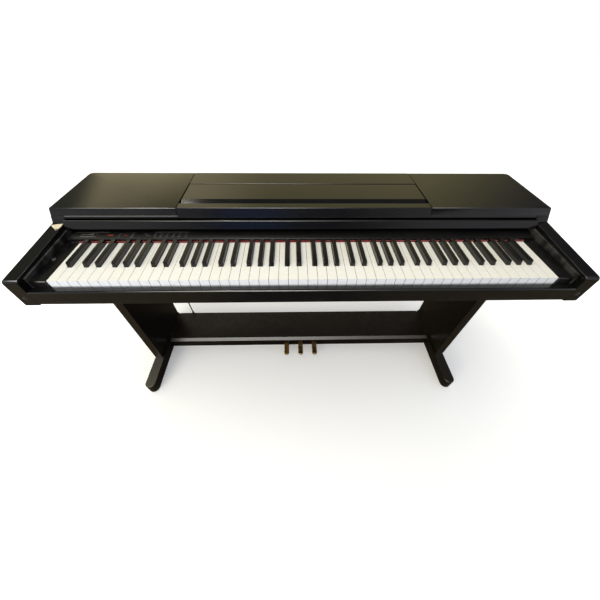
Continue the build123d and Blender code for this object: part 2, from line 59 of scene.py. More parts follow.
# %% [markdown]
# ## Camera
# A wide lens stands in front of the keys, at about the head height of a seated player, and
# looks steeply down. So near, it makes the far corners lean away, so its place and its turn
# have to be set together. The rotation is built from three plain vectors: forward, right
# and up.

# %% Camera
heading, dip, tilt = 0.0346141, 0.8400884, 0.0173005        # radians
camera_place = (-0.0376752, -0.6636264, 1.1555833)
forward = Vector((math.sin(heading) * math.cos(dip), math.cos(heading) * math.cos(dip), -math.sin(dip)))
level_right = Vector((math.cos(heading), -math.sin(heading), 0))
level_up = level_right.cross(forward)
camera_right = level_right * math.cos(tilt) + level_up * math.sin(tilt)
camera_up = level_up * math.cos(tilt) - level_right * math.sin(tilt)
camera = bpy.data.objects.new("camera", bpy.data.cameras.new("camera"))
turn_to_object = Matrix((camera_right, camera_up, -forward)).transposed().to_4x4()
camera.matrix_world = Matrix.Translation(camera_place) @ turn_to_object
camera.data.sensor_width = 36
camera.data.lens = 15.728
camera.data.shift_x, camera.data.shift_y = 0.00239, -0.00323
camera.data.clip_start, camera.data.clip_end = 0.02, 60
bpy.context.scene.collection.objects.link(camera)
bpy.context.scene.camera = camera
print("camera looks down by", round(math.degrees(dip), 1), "degrees")

# %% [markdown]
# ## Small helpers for shader nodes
# A material is a little network. These helpers make one node, one sum or one mix in a line,
# so that each finish below reads as a recipe. Colours are given as they look on a screen and
# are turned into the linear values that the renderer uses.

# %% Colours and shader nodes
BLACK, WHITE = (0, 0, 0, 1), (1, 1, 1, 1)


def shade(red, green, blue):
    """A colour named by its look on a screen, 0 to 255, as linear RGBA."""
    parts = [c / 255 for c in (red, green, blue)]
    return tuple(((c + 0.055) / 1.055) ** 2.4 if c > 0.04 else c / 12.92 for c in parts) + (1.0,)


def add(tree, kind, settings=None, **values):
    """One shader node. Values go to its sockets by name; a socket given as a value is linked."""
    made = tree.nodes.new("ShaderNode" + kind)
    for key, value in (settings or {}).items():
        setattr(made, key, value)
    for key, value in values.items():
        plug(tree, made.inputs[key.replace("_", " ")], value)
    return made


def plug(tree, socket, value):
    """A link when the value is another node's output, a fixed number or colour when it isn't."""
    if isinstance(value, bpy.types.NodeSocket):
        tree.links.new(value, socket)
    else:
        socket.default_value = value


def sum_up(tree, operation, first, second=0.0, third=None):
    """One step of arithmetic on sockets or numbers."""
    step = add(tree, "Math", {"operation": operation})
    for socket, value in zip(step.inputs, (first, second, third)):
        if value is not None:
            plug(tree, socket, value)
    return step.outputs[0]


def blend(tree, amount, under, over):
    """under, covered by over where amount is 1."""
    mix = add(tree, "Mix", {"data_type": "RGBA"})
    factor, first_colour, second_colour, result_colour = 0, 6, 7, 2
    for index, value in ((factor, amount), (first_colour, under), (second_colour, over)):
        plug(tree, mix.inputs[index], value)
    return mix.outputs[result_colour]


def between(tree, value, low, high, start=0.0, end=1.0):
    """value, read from low..high and given out as start..end."""
    step = add(tree, "MapRange", {"interpolation_type": "SMOOTHSTEP"})
    for socket, number in zip(step.inputs, (value, low, high, start, end)):
        plug(tree, socket, number)
    return step.outputs[0]


def own_place(tree):
    """Where a point lies on its own object, so that a pattern moves with the part."""
    return add(tree, "TexCoord").outputs["Object"]


def drawn_out(tree, scale, **noise):
    """Noise stretched along the axes with the smaller numbers: grain, fibres or brush lines."""
    space = add(tree, "Mapping", Vector=own_place(tree))
    space.inputs["Scale"].default_value = scale
    return add(tree, "TexNoise", Vector=space.outputs[0], Scale=1.0, **noise).outputs["Fac"]


# %% [markdown]
# ## Effects that several finishes share
# Uneven tone, dust, hairline scratches, rubbed edges and fine grain are on nearly every part
# of a used instrument. Each is a node group with named sockets, made once, and each finish
# places it with its own numbers. The groups measure places on the object itself, so a mark
# stays where it is when the part moves.

# %% A group with named sockets
def start_group(name, inputs, output):
    """An empty group with number inputs and one output, and its two inner ends."""
    group = bpy.data.node_groups.new(name, "ShaderNodeTree")
    for label, number in inputs.items():
        socket = group.interface.new_socket(label, in_out="INPUT", socket_type="NodeSocketFloat")
        socket.default_value = number
    group.interface.new_socket(output, in_out="OUTPUT", socket_type="NodeSocketFloat")
    return group, group.nodes.new("NodeGroupInput").outputs, group.nodes.new("NodeGroupOutput").inputs


def place(tree, group, **numbers):
    """Puts a shared effect into a material and gives its output."""
    step = add(tree, "Group", {"node_tree": group}, **numbers)
    return step.outputs[0]


# %% Uneven tone
uneven_tone, given, result = start_group("uneven_tone", {"Scale": 8.0, "Contrast": 1.0}, "Mask")
where = own_place(uneven_tone)
clouds = add(uneven_tone, "TexNoise", Vector=where, Scale=given["Scale"], Detail=5.0, Roughness=0.6)
spread = sum_up(uneven_tone, "MULTIPLY_ADD", sum_up(uneven_tone, "SUBTRACT", clouds.outputs["Fac"], 0.5),
                given["Contrast"], 0.5)
plug(uneven_tone, result["Mask"], between(uneven_tone, spread, 0.0, 1.0))

# %% Settled dust
settled_dust, given, result = start_group("settled_dust", {"Amount": 0.1, "Scale": 60.0}, "Mask")
where = own_place(settled_dust)
normal = add(settled_dust, "NewGeometry").outputs["Normal"]
upward = add(settled_dust, "SeparateXYZ", Vector=normal).outputs["Z"]
patches = add(settled_dust, "TexNoise", Vector=where, Scale=given["Scale"], Detail=8.0, Roughness=0.75)
specks = add(settled_dust, "TexNoise", Vector=where, Scale=900.0, Detail=2.0)
drifts = between(settled_dust, patches.outputs["Fac"], 0.45, 0.75)
points = between(settled_dust, specks.outputs["Fac"], 0.66, 0.72)
lying = sum_up(settled_dust, "MULTIPLY", between(settled_dust, upward, 0.6, 0.98),
               sum_up(settled_dust, "ADD", drifts, points))
plug(settled_dust, result["Mask"], sum_up(settled_dust, "MULTIPLY", lying, given["Amount"]))

# %% Hairline scratches
hairlines, given, result = start_group("hairlines", {"Amount": 0.3, "Along": 4.0, "Across": 300.0}, "Mask")
where = own_place(hairlines)
stretch = add(hairlines, "CombineXYZ", X=given["Along"], Y=given["Across"], Z=given["Across"])
swirl = add(hairlines, "TexNoise", Vector=where, Scale=6.0, Detail=2.0)
drawn = add(hairlines, "VectorMath", {"operation": "MULTIPLY"})
plug(hairlines, drawn.inputs[0], where)
plug(hairlines, drawn.inputs[1], stretch.outputs[0])
strokes = add(hairlines, "TexNoise", Vector=drawn.outputs[0], Scale=1.0, Detail=3.0, Distortion=0.6)
thin = between(hairlines, strokes.outputs["Fac"], 0.62, 0.70)
patchy = sum_up(hairlines, "MULTIPLY", thin, between(hairlines, swirl.outputs["Fac"], 0.4, 0.65))
plug(hairlines, result["Mask"], sum_up(hairlines, "MULTIPLY", patchy, given["Amount"]))

# %% Rubbed edges
rubbed_edges, given, result = start_group("rubbed_edges", {"Amount": 0.4}, "Mask")
where = own_place(rubbed_edges)
ridge = add(rubbed_edges, "NewGeometry").outputs["Pointiness"]
breaks = add(rubbed_edges, "TexNoise", Vector=where, Scale=45.0, Detail=6.0)
crest = between(rubbed_edges, ridge, 0.53, 0.62)
worn = sum_up(rubbed_edges, "MULTIPLY", crest, between(rubbed_edges, breaks.outputs["Fac"], 0.4, 0.62))
plug(rubbed_edges, result["Mask"], sum_up(rubbed_edges, "MULTIPLY", worn, given["Amount"]))

# %% Fine grain
fine_grain, given, result = start_group("fine_grain", {"Scale": 500.0, "Ripple": 0.2}, "Height")
where = own_place(fine_grain)
pebbles = add(fine_grain, "TexNoise", Vector=where, Scale=given["Scale"], Detail=2.0)
slow = add(fine_grain, "TexNoise", Vector=where, Scale=24.0, Detail=1.0)
plug(fine_grain, result["Height"], sum_up(fine_grain, "MULTIPLY_ADD", slow.outputs["Fac"], given["Ripple"],
                                          pebbles.outputs["Fac"]))
print("shared effects:", ", ".join(g.name for g in bpy.data.node_groups))

# %% [markdown]
# ## One recipe for a worked surface
# Every finish starts the same way: two tones clouded into each other, wear at the edges,
# dust on what faces up, a roughness that follows the marks, and a fine relief. The recipe
# gives back the material's parts, so a special finish can add to them afterwards.

# %% The common recipe
DUST = shade(148, 140, 124)


class Finish:
    """A material under construction: its tree, its shader and the colour reached so far."""

    def __init__(self, name, base, other, rough=(0.3, 0.4), tone=(8.0, 1.6), edge=None, dust=0.06,
                 scratches=0.2, grain=(500.0, 0.2, 0.04)):
        self.material = bpy.data.materials.new(name)
        self.material.use_nodes = True
        self.tree = self.material.node_tree
        self.shader = self.tree.nodes["Principled BSDF"]
        mask = place(self.tree, uneven_tone, Scale=tone[0], Contrast=tone[1])
        colour = blend(self.tree, mask, base, other)
        lines = place(self.tree, hairlines, Amount=scratches)
        roughness = between(self.tree, mask, 0.0, 1.0, *rough)
        roughness = sum_up(self.tree, "MULTIPLY_ADD", lines, 0.25, roughness)
        if edge:
            rub = place(self.tree, rubbed_edges, Amount=edge[1])
            colour = blend(self.tree, rub, colour, edge[0])
            roughness = sum_up(self.tree, "MULTIPLY_ADD", rub, 0.2, roughness)
        fallen = place(self.tree, settled_dust, Amount=dust)
        colour = blend(self.tree, fallen, colour, DUST)
        roughness = sum_up(self.tree, "MULTIPLY_ADD", fallen, 0.8, roughness)
        plug(self.tree, self.shader.inputs["Roughness"], roughness)
        self.paint(colour)
        self.relief(place(self.tree, fine_grain, Scale=grain[0], Ripple=grain[1]), grain[2])

    def paint(self, colour):
        """The colour so far; a special finish blends more into it and paints again."""
        self.colour = colour
        plug(self.tree, self.shader.inputs["Base Color"], colour)

    def relief(self, height, strength, depth=0.0003):
        """Fine unevenness; the depth is in metres."""
        bump = add(self.tree, "Bump", Height=height)
        bump.inputs["Strength"].default_value = strength
        bump.inputs["Distance"].default_value = depth
        plug(self.tree, self.shader.inputs["Normal"], bump.outputs[0])

    def set(self, **numbers):
        """Constant values on the shader's own sockets."""
        for label, number in numbers.items():
            self.shader.inputs[label.replace("_", " ")].default_value = number
        return self


finishes = {}

# %% [markdown]
# ## Lacquer and laminate
# The case is board with a black satin lacquer. Seen flat on it is nearly black; seen along
# its length it turns grey because it mirrors the room, so it needs a low, slightly uneven
# roughness rather than a grey colour. The stand has a cheaper printed foil in brown-black
# with long grain lines.

# %% Case lacquer
finishes["cabinet_black"] = Finish(
    "case_lacquer", shade(9, 9, 10), shade(13, 13, 13), rough=(0.13, 0.20), tone=(7.0, 1.6),
    edge=(shade(70, 67, 60), 0.12), dust=0.006, scratches=0.2, grain=(900.0, 0.2, 0.03)).set(IOR=1.52)

# %% Stand foil with printed grain
# The light warm brown along the stand's edges is partly wear and partly a painted highlight on edges that
# catch the light.
foil = Finish("stand_foil", shade(17, 13, 9), shade(21, 16, 11), rough=(0.28, 0.33), tone=(5.0, 0.7),
              edge=(shade(110, 92, 70), 0.2), dust=0.006, scratches=0.2, grain=(700.0, 0.3, 0.06))
growth = drawn_out(foil.tree, (22.0, 180.0, 14.0), Detail=6.0, Distortion=0.8)
foil.paint(blend(foil.tree, between(foil.tree, growth, 0.45, 0.72, 0.0, 0.5), foil.colour,
                 shade(20, 16, 12)))
finishes["stand_black"] = foil

# %% Raw board under the keys
board = Finish("raw_board", shade(58, 47, 36), shade(68, 56, 42), rough=(0.75, 0.85), tone=(7.0, 0.8),
               edge=(shade(150, 126, 92), 0.5), dust=0.12, scratches=0.0, grain=(600.0, 0.3, 0.5))
flakes = add(board.tree, "TexVoronoi", Vector=own_place(board.tree), Scale=260.0).outputs["Distance"]
board.paint(blend(board.tree, between(board.tree, flakes, 0.0, 0.5, 0.45, 0.0), board.colour,
                  shade(122, 100, 72)))
finishes["keybed_board"] = board

# %% [markdown]
# ## The keys
# The naturals are moulded in a warm white plastic, a little yellower where fingers have been.
# Their front faces are painted a cooler white for cooler light, and painted shade on their sides
# draws the thin dark line between two keys. The sharps are black with fine lines along their
# length. Both are glossy enough to mirror the room softly.

# %% Warm white naturals
ivory = Finish("ivory_plastic", shade(247, 245, 237), shade(244, 241, 229), rough=(0.2, 0.34),
               tone=(26.0, 1.8), dust=0.02, scratches=0.2, grain=(420.0, 0.6, 0.03))
faces = add(ivory.tree, "SeparateXYZ", Vector=add(ivory.tree, "NewGeometry").outputs["Normal"])
# Painted light: faces that look forward are painted a cooler white for the cooler light that falls on them.
cool_light_fronts = between(ivory.tree, faces.outputs["Y"], -0.4, -0.95)
ivory.paint(blend(ivory.tree, cool_light_fronts, ivory.colour, shade(238, 242, 250)))
up_and_down = add(ivory.tree, "SeparateXYZ", Vector=own_place(ivory.tree)).outputs["Z"]
sides = between(ivory.tree, sum_up(ivory.tree, "ABSOLUTE", faces.outputs["X"]), 0.75, 0.98)
gap_top, gap_dark = 0.7197, 0.7178          # the sides begin to grey just under the keys' tops
# Painted shade: the sides of the naturals are darkened just under the top, where the narrow gap between two
# keys lies in shade.
painted_gap_shade = sum_up(ivory.tree, "MULTIPLY", sides, between(ivory.tree, up_and_down, gap_top, gap_dark))
ivory.paint(blend(ivory.tree, painted_gap_shade, ivory.colour, shade(74, 70, 62)))
finishes["key_ivory"] = ivory.set(IOR=1.49)

# %% Black sharps
sharp = Finish("sharp_plastic", shade(8, 8, 9), shade(13, 13, 13), rough=(0.16, 0.26), tone=(18.0, 1.6),
               edge=(shade(86, 84, 80), 0.10), dust=0.015, scratches=0.3, grain=(800.0, 0.2, 0.05))
sharp.relief(drawn_out(sharp.tree, (1500.0, 40.0, 1500.0), Detail=2.0), 0.12)
finishes["key_black"] = sharp

# %% [markdown]
# ## Panel, buttons, felt and metal
# The control panel has a fine moulded texture, so it stays dark where the lacquer shines.
# The felt is dyed wool: rough, with short fibres that catch light at a slant, which the
# shader's sheen gives. The rails that carry the key cover are dark and matt, with lines along
# their length; the steel and the brass parts are brushed in the same way.

# %% Panel and buttons
finishes["panel_black"] = Finish(
    "panel_plastic", shade(10, 10, 11), shade(14, 14, 14), rough=(0.28, 0.38), tone=(10.0, 1.4),
    edge=(shade(70, 70, 68), 0.15), dust=0.012, scratches=0.15,
    grain=(1600.0, 0.1, 0.25)).set(Specular_IOR_Level=0.25)
finishes["button_black"] = Finish(
    "button_plastic", shade(38, 38, 40), shade(50, 49, 48), rough=(0.4, 0.5), tone=(120.0, 1.5),
    edge=(shade(126, 124, 118), 0.5), dust=0.05, scratches=0.1, grain=(1800.0, 0.1, 0.15))

# %% Wool felt
felt = Finish("wool_felt", shade(128, 18, 20), shade(92, 12, 16), rough=(0.9, 1.0), tone=(220.0, 2.0),
              dust=0.10, scratches=0.0, grain=(2400.0, 0.2, 0.9)).set(Sheen_Weight=0.6, Sheen_Roughness=0.4)
fibres = drawn_out(felt.tree, (500.0, 2200.0, 2200.0), Detail=4.0, Distortion=1.5)
felt.paint(blend(felt.tree, between(felt.tree, fibres, 0.5, 0.75, 0.0, 0.4), felt.colour,
                 shade(176, 52, 48)))
finishes["felt_red"] = felt


# %% Metals with lines along their length
def metal(name, base, other, rough, metallic=1.0, lines=(6.0, 900.0, 900.0), strength=0.1, **more):
    """A finish whose relief is brushed lines in place of grain."""
    made = Finish(name, base, other, rough=rough, **more)
    made.relief(drawn_out(made.tree, lines, Detail=3.0), strength)
    return made.set(Metallic=metallic)


finishes["rail_dark"] = metal(
    "dark_rail", shade(14, 14, 15), shade(20, 20, 20), (0.5, 0.6), metallic=0.0, tone=(14.0, 1.0),
    edge=(shade(120, 118, 112), 0.4), dust=0.02).set(Specular_IOR_Level=0.22)
finishes["steel"] = metal("plated_steel", shade(176, 176, 174), shade(142, 140, 134), (0.25, 0.4),
                          tone=(60.0, 1.8), dust=0.04, scratches=0.4)
finishes["pedal_brass"] = metal("worn_brass", shade(206, 170, 96), shade(164, 126, 62), (0.2, 0.42),
                                lines=(700.0, 10.0, 700.0), strength=0.08, tone=(40.0, 2.2),
                                edge=(shade(236, 214, 160), 0.6), dust=0.05, scratches=0.5)

# %% [markdown]
# ## Hidden and underside parts
# The amplifier board, the power supply, the loudspeakers, the grilles and the chassis are
# seen only from below or behind, but they still are what they are: solder mask with copper
# tracks under it, paper cones with a fibre texture, and painted metal.

# %% Circuit board with tracks
circuit = Finish("solder_mask", shade(16, 74, 40), shade(22, 92, 50), rough=(0.3, 0.42), tone=(40.0, 1.5),
                 dust=0.12, scratches=0.0, grain=(900.0, 0.1, 0.1))
tracks = add(circuit.tree, "TexBrick", {"offset": 0.35}, Vector=own_place(circuit.tree), Scale=95.0,
             Mortar_Size=0.09, Color1=BLACK, Color2=BLACK, Mortar=WHITE).outputs["Fac"]
circuit.paint(blend(circuit.tree, sum_up(circuit.tree, "MULTIPLY", tracks, 0.6), circuit.colour,
                    shade(58, 138, 76)))
finishes["circuit_green"] = circuit

# %% Cone paper, painted mesh, rubber and grey plastic
finishes["speaker_cone"] = Finish(
    "cone_paper", shade(38, 37, 36), shade(54, 52, 49), rough=(0.7, 0.9), tone=(90.0, 2.0),
    dust=0.1, scratches=0.0, grain=(1300.0, 0.2, 0.6))
finishes["grille_black"] = Finish(
    "painted_mesh", shade(28, 28, 29), shade(38, 37, 36), rough=(0.4, 0.55), tone=(60.0, 1.6),
    edge=(shade(110, 108, 104), 0.4), dust=0.06, scratches=0.1, grain=(1500.0, 0.1, 0.2))
finishes["cable_black"] = Finish(
    "soft_rubber", shade(30, 30, 30), shade(42, 41, 39), rough=(0.5, 0.66), tone=(50.0, 1.6),
    dust=0.1, scratches=0.1, grain=(1900.0, 0.1, 0.2))
finishes["chassis_grey"] = Finish(
    "grey_moulding", shade(118, 118, 116), shade(136, 135, 131), rough=(0.45, 0.6), tone=(30.0, 1.6),
    edge=(shade(170, 169, 165), 0.4), dust=0.08, scratches=0.1, grain=(1400.0, 0.1, 0.2))

# %% Lamp lens, white print and bare wood
lens = Finish("orange_lens", shade(150, 70, 34), shade(126, 54, 24), rough=(0.2, 0.3), tone=(300.0, 1.4),
              dust=0.03, scratches=0.1, grain=(1800.0, 0.1, 0.05)).set(Emission_Strength=0.08)
plug(lens.tree, lens.shader.inputs["Emission Color"], lens.colour)
ink = Finish("screen_print", shade(178, 176, 168), shade(132, 130, 124), rough=(0.5, 0.65),
             tone=(900.0, 2.4), dust=0.0, scratches=0.2, grain=(1800.0, 0.1, 0.2))
bare = Finish("bare_wood", shade(238, 230, 204), shade(216, 200, 164), rough=(0.7, 0.9), tone=(240.0, 2.6),
              dust=0.1, scratches=0.0, grain=(1100.0, 0.3, 0.8))
print(len(bpy.data.materials), "finishes")

# %% [markdown]
# ## Finishes and soft edges on the solid parts
# The record names the finish of each solid part. Real boards and mouldings never have a
# knife edge: a bevel of half a millimetre to two millimetres gives each one the bright line
# that makes it look made. The imported mesh has separate corners for each face, so Weld joins them and a
# planar Decimate clears the triangles before the Bevel.

# %% Which part has which finish
slot_of = {part["node"]: part["material_slot"] for part in frame["record"]["subparts"]}
print("finishes used:", len(set(slot_of.values())), "on", len(slot_of), "parts")

# %% Soft edges
edge_width = {"side_left": 1.8, "side_right": 1.8, "top_left": 1.5, "top_right": 1.5,
              "top_rear_centre": 0.8, "front_rail": 1.4, "music_rest": 1.4, "cover_lip": 1.8,
              "leg_left": 1.2, "leg_right": 1.2, "feet": 1.6, "pedal_box": 1.4, "key_slip": 2.2,
              "keybed": 0.8, "back_board": 0.8, "cheek_blocks": 1.4, "control_panel": 0.8,
              "headphone_box": 1.0, "rear_panel": 0.5, "key_cover": 0.5, "key_chassis": 0.4,
              "power_supply": 0.6, "main_board": 0.2, "cover_rails": 0.4}       # millimetres
natural_edge, sharp_edge = 0.5, 0.6


def soften(piece, width_mm, angle=34):
    """Joined corners, flat faces without triangles, then a narrow bevel."""
    weld = piece.modifiers.new("join_corners", "WELD")
    weld.merge_threshold = 0.00001
    tidy = piece.modifiers.new("clear_triangles", "DECIMATE")
    tidy.decimate_type = "DISSOLVE"
    tidy.angle_limit = math.radians(0.4)
    bevel = piece.modifiers.new("soft_edge", "BEVEL")
    bevel.width = width_mm / 1000
    bevel.segments = 2
    bevel.limit_method = "ANGLE"
    bevel.angle_limit = math.radians(angle)
    bevel.harden_normals = True


for name, part in nodes.items():
    part.data.materials.clear()
    part.data.materials.append(finishes[slot_of[name]].material)
    width = edge_width.get(name)
    if name.startswith("keys_"):
        width = sharp_edge if name.endswith("sharp") else natural_edge
    if width:
        soften(part, width)
print("parts with soft edges:", sum(1 for p in nodes.values() if p.modifiers))

# %% [markdown]
# ## Light
# A soft, mostly white room. Matt surfaces are lit by an even fill. Glossy ones mirror a room
# that is warm and bright behind on the player's left, duller behind on the right, and dark
# in front where the player stands: that mirrored room is all that gives black lacquer a
# shape. A bright patch overhead can't be seen in the flat boards, only in their rounded
# edges, so it draws the thin light line along each edge. The Light Path node tells the two
# kinds of ray apart.

# %% The room as a soft sky
world = bpy.data.worlds.new("room")
bpy.context.scene.world = world
world.use_nodes = True
sky = world.node_tree
ray = add(sky, "SeparateXYZ", Vector=add(sky, "TexCoord").outputs["Generated"]).outputs
to_right, to_back, height = ray["X"], ray["Y"], ray["Z"]


def both(first, second):
    """A mask that is white only where both masks are."""
    return sum_up(sky, "MULTIPLY", first, second)


behind_tone = blend(sky, between(sky, to_right, -0.05, -0.35), (0.55, 0.49, 0.25, 1), (1.00, 0.88, 0.52, 1))
behind_tone = blend(sky, between(sky, to_right, -0.50, -0.61), behind_tone, (0.13, 0.13, 0.10, 1))
behind_tone = blend(sky, between(sky, to_right, 0.36, 0.74), behind_tone, (0.05, 0.05, 0.06, 1))
off_middle = sum_up(sky, "ABSOLUTE", to_right)
front_tone = blend(sky, between(sky, off_middle, 0.18, 0.55), (0.07, 0.07, 0.09, 1), (0.50, 0.51, 0.54, 1))
blue_patch = both(between(sky, to_right, -0.30, -0.20), between(sky, to_right, 0.02, -0.08))
front_tone = blend(sky, blue_patch, front_tone, (0.08, 0.16, 0.42, 1))
round_about = blend(sky, between(sky, to_back, -0.25, 0.15), front_tone, behind_tone)
mirrored = blend(sky, between(sky, height, 0.52, 0.64), round_about, (0.10, 0.10, 0.10, 1))
overhead = both(between(sky, height, 0.60, 0.74), between(sky, to_back, 0.08, -0.15))
overhead = both(overhead, between(sky, to_right, 0.50, -0.25, 0.10, 1.0))
mirrored = blend(sky, overhead, mirrored, (12.5, 12.2, 11.4, 1))
upper_left = both(between(sky, height, 0.78, 0.86), between(sky, to_right, -0.30, -0.42))
mirrored = blend(sky, upper_left, mirrored, (6.00, 5.60, 4.00, 1))
fill = blend(sky, between(sky, to_right, -0.9, 0.9), (0.86, 0.80, 0.58, 1), (0.45, 0.50, 0.63, 1))
paths = add(sky, "LightPath")
lit = blend(sky, paths.outputs["Is Glossy Ray"], fill, mirrored)
background = sky.nodes["Background"].inputs
background["Strength"].default_value = 1.0
plug(sky, background["Color"], blend(sky, paths.outputs["Is Camera Ray"], lit, WHITE))
print("room nodes:", len(sky.nodes))


# %% Soft lamps
def soft_lamp(name, place_at, aim, size, power, tint, mirrored=True):
    """An area lamp aimed at a point; one that isn't mirrored gives light but leaves no glint."""
    light = bpy.data.lights.new(name, "AREA")
    light.shape, light.energy, light.color = "RECTANGLE", power, tint
    light.size, light.size_y = size
    lamp = bpy.data.objects.new(name, light)
    lamp.location = place_at
    lamp.rotation_mode = "QUATERNION"
    lamp.rotation_quaternion = (Vector(aim) - Vector(place_at)).to_track_quat("-Z", "Y")
    lamp.visible_glossy = mirrored
    lamp.visible_camera = False
    bpy.context.scene.collection.objects.link(lamp)


soft_lamp("ceiling_strip", (-0.50, -0.30, 2.6), (0, -0.05, 0.7), (2.6, 0.07), 19, (1.0, 0.985, 0.96))
soft_lamp("front_softbox", (-1.7, -2.1, 0.9), (-0.2, 0, 0.5), (1.4, 0.9), 38, (1.0, 0.97, 0.94),
          mirrored=False)
soft_lamp("right_softbox", (2.2, -1.8, 1.2), (0.3, 0, 0.6), (1.2, 0.9), 5, (0.88, 0.95, 1.0),
          mirrored=False)
for side in (-1, 1):
    soft_lamp(f"end_panel_{side + 1}", (2.2 * side, 0.1, 0.4), (0, 0.1, 0.4), (1.8, 0.9), 4,
              (1.0, 0.98, 0.95))
print("lamps:", ", ".join(lamp.name for lamp in bpy.data.lights))

# %% [markdown]
# ## Floor
# The floor is a plain sheet that only carries the shadow. Looked at directly it is nearly
# white and glows a little, more so far away, which hides the horizon. To light that bounces
# off it, it is dark in the middle and brown at the sides, so the case has something to mirror.

# %% Pale floor
floor_mesh = bpy.data.meshes.new("floor")
reach, sunk = 14.0, -0.0004
floor_mesh.from_pydata([(-reach, -reach, sunk), (reach, -reach, sunk), (reach, reach, sunk),
                        (-reach, reach, sunk)], [], [(0, 1, 2, 3)])
floor = bpy.data.objects.new("floor", floor_mesh)
bpy.context.scene.collection.objects.link(floor)
pale = Finish("pale_floor", shade(253, 253, 253), shade(251, 251, 251), rough=(0.7, 0.8), tone=(2.0, 1.0),
              dust=0.0, scratches=0.0, grain=(200.0, 0.1, 0.02)).set(Specular_IOR_Level=0.1)
seen_directly = add(pale.tree, "LightPath").outputs["Is Camera Ray"]
spot = own_place(pale.tree)
sideways = sum_up(pale.tree, "ABSOLUTE", add(pale.tree, "SeparateXYZ", Vector=spot).outputs["X"])
bounced = blend(pale.tree, between(pale.tree, sideways, 0.2, 0.7), shade(58, 56, 54), shade(104, 95, 78))
pale.paint(blend(pale.tree, seen_directly, bounced, pale.colour))
away = add(pale.tree, "VectorMath", {"operation": "LENGTH"}, Vector=spot).outputs["Value"]
plug(pale.tree, pale.shader.inputs["Emission Color"], blend(pale.tree, seen_directly, BLACK, WHITE))
plug(pale.tree, pale.shader.inputs["Emission Strength"], between(pale.tree, away, 0.7, 1.8, 0.14, 0.46))
floor_mesh.materials.append(pale.material)
bpy.context.scene.view_settings.view_transform = "Standard"
bpy.context.scene.view_settings.look = "None"
print("floor reaches", reach, "m each way")

# %% [markdown]
# ## Making small pieces
# The extra pieces are small turned or cut shapes. One helper turns a profile round an axis,
# one raises a flat outline by a hair's breadth, and one hands a finished mesh to its body
# with its finish.

# %% Helpers for small pieces
def piece_from(mesh, name, finish, body="cabinet", smooth=True):
    """A bmesh made into a named piece that rides a body."""
    data = bpy.data.meshes.new(name)
    bmesh.ops.recalc_face_normals(mesh, faces=mesh.faces)
    mesh.to_mesh(data)
    mesh.free()
    data.materials.append(finish.material)
    for face in data.polygons:
        face.use_smooth = smooth
    made = bpy.data.objects.new(name, data)
    bpy.context.scene.collection.objects.link(made)
    if smooth:
        data.set_sharp_from_angle(angle=math.radians(38))
    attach(made, body)
    return made


def facing(direction):
    """A turn that points a piece's own Z along a direction."""
    return Vector(direction).to_track_quat("Z", "Y").to_matrix().to_4x4()


def turned(mesh, profile, centre, direction=(0, 0, 1), around=32):
    """A profile of (radius, height) pairs turned round the direction and added to mesh."""
    rings = []
    for radius, height in profile:
        steps = 1 if radius == 0 else around
        ring = []
        for step in range(steps):
            angle = 2 * math.pi * step / around
            ring.append(mesh.verts.new((radius * math.cos(angle), radius * math.sin(angle), height)))
        rings.append(ring)
    for lower, upper in zip(rings, rings[1:]):
        for step in range(around):
            after = (step + 1) % around
            corners = [lower[step % len(lower)], lower[after % len(lower)], upper[after % len(upper)],
                       upper[step % len(upper)]]
            kept = list(dict.fromkeys(corners))
            if len(kept) > 2:
                mesh.faces.new(kept)
    moved = [v for ring in rings for v in ring]
    bmesh.ops.transform(mesh, matrix=Matrix.Translation(centre) @ facing(direction), verts=moved)
    return moved


def raised(mesh, outline, low, high):
    """A closed outline of (x, y) points raised from one height to another, added to mesh."""
    bottom = [mesh.verts.new((x, y, low)) for x, y in outline]
    top = [mesh.verts.new((x, y, high)) for x, y in outline]
    mesh.faces.new(top)
    mesh.faces.new(bottom[::-1])
    for i in range(len(outline)):
        j = (i + 1) % len(outline)
        mesh.faces.new((bottom[i], bottom[j], top[j], top[i]))


def rounded_bar(x, y, long, wide, steps=5):
    """The outline of a bar with round ends, along X."""
    radius, points = wide / 2, []
    for side, start in ((1, -90), (-1, 90)):
        for step in range(steps + 1):
            angle = math.radians(start + 180 * step / steps)
            points.append((x + side * (long / 2 - radius) + radius * math.cos(angle),
                           y + radius * math.sin(angle)))
    return points


# %% [markdown]
# ## The pedal cable
# A thin black cable runs from the pedal box up behind the back board to a round plug under
# the case. It is one smooth curve through a few control points with a round section. Where
# it leaves the box it has a ribbed rubber sleeve that spreads the bend.

# %% Cable curve
cable_x, cable_y = -0.563, 0.217
route = [(cable_x, cable_y, 0.050), (cable_x, cable_y, 0.118), (cable_x - 0.005, cable_y + 0.002, 0.190),
         (cable_x - 0.012, cable_y + 0.004, 0.268), (cable_x - 0.016, cable_y + 0.002, 0.352),
         (cable_x - 0.012, cable_y - 0.001, 0.434), (cable_x - 0.004, cable_y - 0.003, 0.508),
         (cable_x + 0.001, cable_y - 0.001, 0.568), (cable_x + 0.001, cable_y - 0.001, 0.628)]
cable_data = bpy.data.curves.new("pedal_cable_curve", "CURVE")
cable_data.dimensions = "3D"
cable_data.bevel_depth = 0.00275
cable_data.bevel_resolution = 6
cable_data.resolution_u = 16
cable_data.use_fill_caps = True
strand = cable_data.splines.new("NURBS")
strand.points.add(len(route) - 1)
for point, at in zip(strand.points, route):
    point.co = (*at, 1)
strand.order_u = 3
strand.use_endpoint_u = True
cable_data.materials.append(finishes["cable_black"].material)
cable = bpy.data.objects.new("pedal_cable_line", cable_data)
bpy.context.scene.collection.objects.link(cable)
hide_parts("pedal_cable")
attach(cable, "cabinet")

